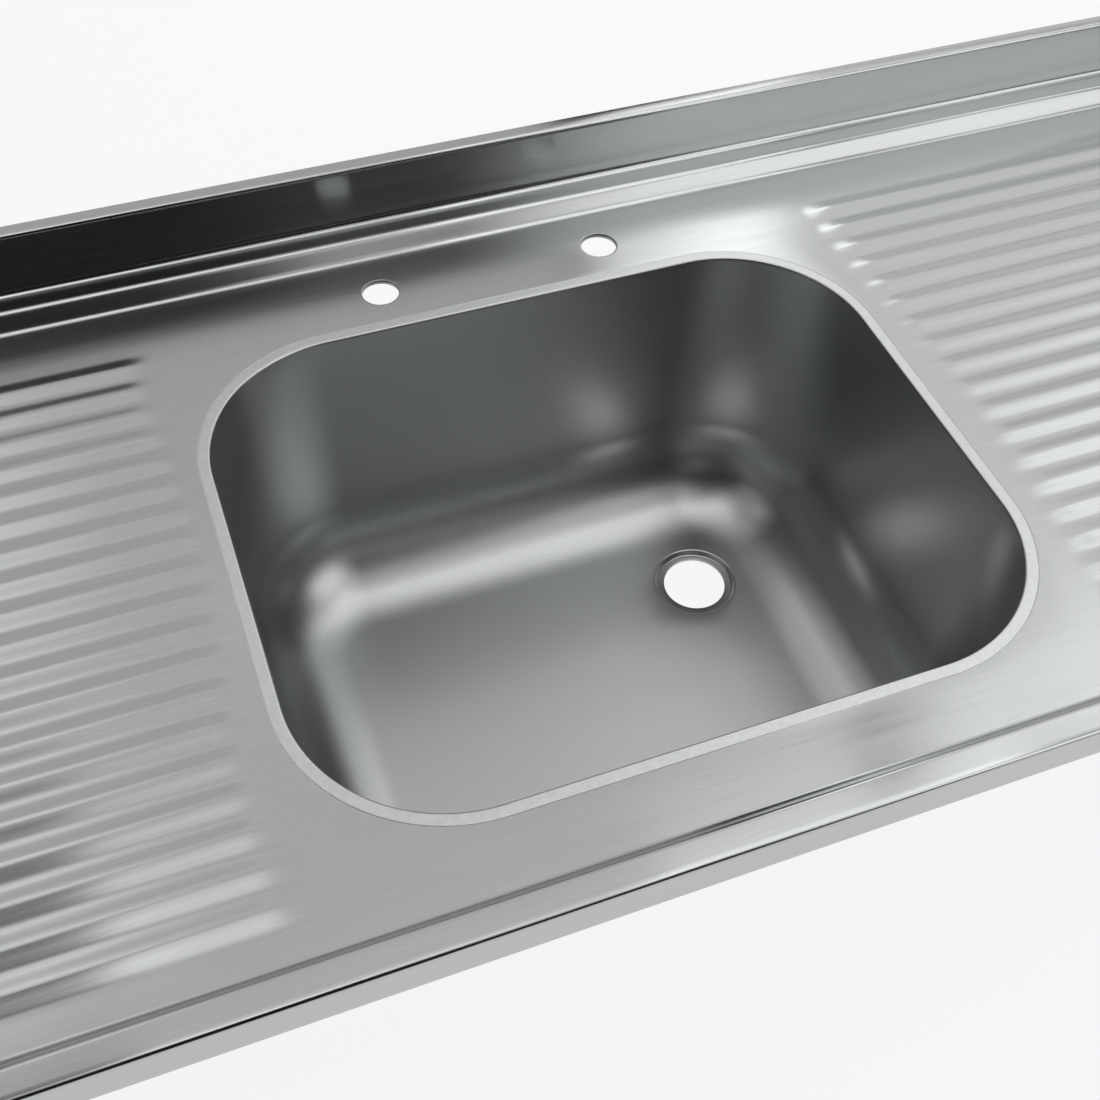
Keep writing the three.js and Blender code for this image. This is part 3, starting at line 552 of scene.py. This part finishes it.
# Drawn stainless steel with a satin finish: no direction to it, and soft wide reflections. Its
# grain is about 0.1 mm, and is drawn 1.1 mm so that it shows.
satin, tree = new_material("satin_stainless")
where = add(tree, "ShaderNodeTexCoord").outputs["Object"]
grain = add(tree, "ShaderNodeTexNoise", inputs={"Vector": where, "Scale": 900.0, "Detail": 2.0})
cloud = add(tree, "ShaderNodeTexNoise", inputs={"Vector": where, "Scale": 14.0, "Detail": 2.0})
finish_metal(tree, ("#B4B6B6", "#BCBEBE"), grain.outputs["Fac"], (0.31, 0.34), cloud.outputs["Fac"],
             grain.outputs["Fac"], 0.02)
bowl.data.materials.append(satin)

# The flange is ground flush after the welding and given a polish by hand. Its colours are set lighter
# than the bowl's steel, which is the same alloy: a painted sheen for the band's brighter reflection.
polished_painted_sheen, tree = new_material("polished_flange_painted_sheen")
where = add(tree, "ShaderNodeTexCoord").outputs["Object"]
rubbed = add(tree, "ShaderNodeTexNoise", inputs={"Vector": where, "Scale": 300.0, "Detail": 3.0})
# the two colours are lighter than the bowl's steel: painted sheen, not a different metal
finish_metal(tree, ("#CACCCC", "#D3D5D5"), rubbed.outputs["Fac"], (0.30, 0.36), rubbed.outputs["Fac"],
             rubbed.outputs["Fac"], 0.03)
bowl.data.materials.append(polished_painted_sheen)
centres, normals = (np.empty(3 * len(bowl.data.polygons)) for _ in range(2))
bowl.data.polygons.foreach_get("center", centres)
bowl.data.polygons.foreach_get("normal", normals)
on_flange = (centres[2::3] > (FIELD - 0.2) * MM) & (normals[2::3] > 0.5)
bowl.data.polygons.foreach_set("material_index", on_flange.astype(np.int32))
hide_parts("bowl")
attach(bowl, "root")

# ---- the weld under the bowl's flange ---------------------------------------------------------
# A bead of filler steel run round the bowl from below, left as welded: scaly and grey, with a straw
# tint from the heat, so the eye sees a rough line between two bright sheets.
weld, tree = new_material("weld_bead_steel")
where = add(tree, "ShaderNodeTexCoord").outputs["Object"]
scales = add(tree, "ShaderNodeTexVoronoi", inputs={"Vector": where, "Scale": 1 / (1.5 * MM)})
tint = add(tree, "ShaderNodeTexNoise", inputs={"Vector": where, "Scale": 60.0, "Detail": 2.0})
finish_metal(tree, ("#827F78", "#9A9588"), tint.outputs["Fac"], (0.36, 0.5), tint.outputs["Fac"],
             scales.outputs["Distance"], 0.6)
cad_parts["bowl_weld_seam"].material_slots[0].material = weld

# ---- the upstand's end caps --------------------------------------------------------------------
# Two plates of the worktop's own steel, welded in and ground with the same belt.
for name in ("upstand_end_cap_left", "upstand_end_cap_right"):
    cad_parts[name].material_slots[0].material = brushed

# ---- the rails, channels and plates underneath -------------------------------------------------
# Folded from galvanised sheet, glued or spot-welded under the top. The zinc's crystals show as grey
# cells of 6 to 10 mm, each with its own tone and gloss.
galvanised, tree = new_material("galvanised_steel")
where = add(tree, "ShaderNodeTexCoord").outputs["Object"]
crystals = add(tree, "ShaderNodeTexVoronoi", inputs={"Vector": where, "Scale": 1 / (8 * MM)})
dull = add(tree, "ShaderNodeTexNoise", inputs={"Vector": where, "Scale": 500.0, "Detail": 3.0})
finish_metal(tree, ("#9FA3A5", "#B5B9BA"), crystals.outputs["Color"], (0.38, 0.5),
             crystals.outputs["Color"], dull.outputs["Fac"], 0.08, core=(0.2, 0.8))
for name in ("tap_ledge_plate", "drainer_channel_1", "drainer_channel_2", "drainer_channel_3",
             "drainer_channel_4", "front_rail", "rear_rail", "corner_gusset_front_left",
             "corner_gusset_front_right", "corner_gusset_rear_left", "corner_gusset_rear_right"):
    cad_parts[name].material_slots[0].material = galvanised

# ---- the sound-deadening pads ------------------------------------------------------------------
# Filled bitumen sheet stuck to the drainers and to the bowl's floor: near black, matt, and pebbled
# by the roller that pressed it.
bitumen, tree = new_material("bitumen_pad")
where = add(tree, "ShaderNodeTexCoord").outputs["Object"]
pebbles = add(tree, "ShaderNodeTexVoronoi", inputs={"Vector": where, "Scale": 1 / (1.2 * MM)})
dust = add(tree, "ShaderNodeTexNoise", inputs={"Vector": where, "Scale": 25.0, "Detail": 4.0})
dusty = add(tree, "ShaderNodeMapRange", inputs={
    "Value": dust.outputs["Fac"], "From Min": 0.3, "From Max": 0.7, "To Min": 0, "To Max": 1})
rough = add(tree, "ShaderNodeMapRange", inputs={
    "Value": dust.outputs["Fac"], "From Min": 0.3, "From Max": 0.7, "To Min": 0.74, "To Max": 0.86})
shade = add(tree, "ShaderNodeMix", {"data_type": "RGBA"}, {"Factor": dusty.outputs["Result"]})
shade.inputs["A"].default_value = (*srgb("#2C2C2D"), 1)
shade.inputs["B"].default_value = (*srgb("#39393B"), 1)
relief = add(tree, "ShaderNodeBump", inputs={
    "Height": pebbles.outputs["Distance"], "Strength": 0.5, "Distance": BUMP_DEPTH * MM})
pad = add(tree, "ShaderNodeBsdfPrincipled", inputs={
    "Base Color": shade.outputs["Result"], "Roughness": rough.outputs["Result"],
    "Normal": relief.outputs["Normal"]})
add(tree, "ShaderNodeOutputMaterial", inputs={"Surface": pad.outputs["BSDF"]})
for name in ("drainer_pad_left", "drainer_pad_right", "bowl_floor_pad"):
    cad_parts[name].material_slots[0].material = bitumen

# ---- the nuts, the screw and the washer --------------------------------------------------------
# Turned and pressed steel with a thin bright zinc plating, faintly yellow, that reflects more
# sharply than the galvanised sheet beside it.
plated, tree = new_material("zinc_plated_steel")
where = add(tree, "ShaderNodeTexCoord").outputs["Object"]
mottle = add(tree, "ShaderNodeTexNoise", inputs={"Vector": where, "Scale": 350.0, "Detail": 3.0})
finish_metal(tree, ("#B3B1A8", "#C4C2B8"), mottle.outputs["Fac"], (0.26, 0.34), mottle.outputs["Fac"],
             mottle.outputs["Fac"], 0.05)
for name in ("corner_nut_front_left", "corner_nut_front_right", "corner_nut_rear_left",
             "corner_nut_rear_right", "earth_screw", "earth_washer", "earth_nut"):
    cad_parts[name].material_slots[0].material = plated

# ---- the earth tag -----------------------------------------------------------------------------
# Stamped from thin brass strip: warm yellow metal, so that it is found at once. Its rolling marks
# are drawn 0.4 mm wide, coarser than real ones, so that they show.
brass, tree = new_material("rolled_brass")
marks = streaks(tree, 8, 0.4)
finish_metal(tree, ("#C2A15C", "#D2B36E"), marks, (0.26, 0.34), marks, marks, 0.05)
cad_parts["earth_tag"].material_slots[0].material = brass

# ---- the studio ------------------------------------------------------------------------------
# A pale matt floor that keeps the sink's shadow, and soft lamps round it: wide ones overhead and
# behind, brighter ones at the right, and dark gaps between them that give the steel its depth.
WHITE_SHARE = 0.88  # how much of the floor's look is plain white, and not its light and shadow
LAMP_DISTANCE = 3.0
LAMP_AIM = 0.2  # the height that the lamps are turned to
floor_mesh = bpy.data.meshes.new("floor")
reach = 12.0
floor_mesh.from_pydata([(-reach, -reach, 0), (reach, -reach, 0), (reach, reach, 0), (-reach, reach, 0)], [],
                       [(0, 1, 2, 3)])
floor = bpy.data.objects.new("floor", floor_mesh)
bpy.context.scene.collection.objects.link(floor)
pale, tree = new_material("pale_floor")
path = add(tree, "ShaderNodeLightPath")
seen = add(tree, "ShaderNodeMath", {"operation": "MAXIMUM"})
tree.links.new(path.outputs["Is Camera Ray"], seen.inputs[0])
tree.links.new(path.outputs["Is Glossy Ray"], seen.inputs[1])
seen_too = add(tree, "ShaderNodeMath", {"operation": "MAXIMUM"})
tree.links.new(seen.outputs[0], seen_too.inputs[0])
tree.links.new(path.outputs["Is Transmission Ray"], seen_too.inputs[1])
share = add(tree, "ShaderNodeMath", {"operation": "MULTIPLY"})
tree.links.new(seen_too.outputs[0], share.inputs[0])
share.inputs[1].default_value = WHITE_SHARE
shaded = add(tree, "ShaderNodeBsdfDiffuse", inputs={"Color": (0.8, 0.8, 0.8, 1)})
glow = add(tree, "ShaderNodeEmission", inputs={"Color": (1, 1, 1, 1), "Strength": 1.0})
both = add(tree, "ShaderNodeMixShader", inputs={"Fac": share.outputs[0]})
tree.links.new(shaded.outputs[0], both.inputs[1])
tree.links.new(glow.outputs[0], both.inputs[2])
add(tree, "ShaderNodeOutputMaterial", inputs={"Surface": both.outputs[0]})
floor_mesh.materials.append(pale)


def soft_light(name, azimuth, elevation, size, radiance):
    """A flat lamp 3 m from the middle of the sink, which it faces. The azimuth runs from the back
    towards the right, in degrees. The power is what a lamp of this size needs for its radiance."""
    lamp = bpy.data.lights.new(name, "AREA")
    lamp.shape = "RECTANGLE"
    lamp.size, lamp.size_y = size
    lamp.energy = radiance * math.pi * size[0] * size[1]
    turn, rise = math.radians(azimuth), math.radians(elevation)
    holder = bpy.data.objects.new(name, lamp)
    holder.location = (
        LAMP_DISTANCE * math.sin(turn) * math.cos(rise), LAMP_DISTANCE * math.cos(turn) * math.cos(rise),
        LAMP_AIM + LAMP_DISTANCE * math.sin(rise))
    holder.rotation_euler = (math.pi / 2 - rise, 0, math.pi - turn)
    holder.visible_camera = False
    bpy.context.scene.collection.objects.link(holder)


soft_light("behind", -2, 27, (2.1, 3.0), 0.64)
soft_light("behind_left_high", -52, 50, (1.8, 1.6), 0.45)
soft_light("behind_right_low", 52, 14, (2.8, 1.4), 0.9)
soft_light("behind_right_high", 54, 42, (2.15, 1.4), 1.0)
soft_light("window", 29.5, 35.5, (0.5, 0.75), 1.4)
soft_light("right_high", 85, 50, (1.6, 1.2), 0.68)
soft_light("front_right", 132, 32, (2.0, 2.0), 1.55)
soft_light("front_right_high", 148, 61, (1.6, 1.1), 0.75)
soft_light("overhead_back", 4, 64, (2.6, 1.2), 0.72)
soft_light("overhead_right", 95, 68, (1.8, 1.0), 1.5)
soft_light("overhead_left", -115, 70, (1.4, 1.2), 0.7)
soft_light("overhead", 0, 90, (1.5, 1.5), 1.1)
soft_light("overhead_key", 180, 84, (0.8, 0.8), 0.5)
soft_light("left_high", -90, 45, (2.0, 1.2), 0.4)
world = bpy.data.worlds.new("studio")
bpy.context.scene.world = world
world.use_nodes = True
world.node_tree.nodes["Background"].inputs["Color"].default_value = (0.01, 0.01, 0.01, 1)
world.node_tree.nodes["Background"].inputs["Strength"].default_value = 1.0

bpy.context.scene.view_settings.view_transform = "Standard"
